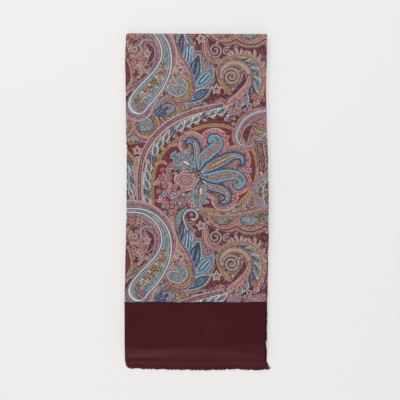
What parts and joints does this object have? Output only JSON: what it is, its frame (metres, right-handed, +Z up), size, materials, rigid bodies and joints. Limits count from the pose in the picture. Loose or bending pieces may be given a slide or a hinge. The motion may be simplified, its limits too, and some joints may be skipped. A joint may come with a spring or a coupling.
{
  "type": "folded silk cravat scarf",
  "caption": "Long paisley-printed silk neck scarf with a plain fringed end, folded lengthways and across into a flat stack.",
  "frame": {"origin": "middle of the folded scarf's outline, on the surface it lies on", "axes": "+X across the folded width with the lengthways fold at -X, +Y from the fringed end to the top fold, +Z up"},
  "size_m": [0.1662, 0.3854, 0.0078],
  "materials": {
    "printed_silk": "silk twill printed with paisleys in burgundy, pink, ochre, grey and blue, with a soft sheen",
    "plain_silk": "plain burgundy silk twill with a soft sheen",
    "silk_fringe": "loose burgundy silk threads"
  },
  "bodies": {
    "root": {"printed_panel": "printed_silk", "folded_layers": "printed_silk", "end_band": "plain_silk", "end_fringe_upper": "silk_fringe", "end_fringe_lower": "silk_fringe"}
  },
  "joints": []
}
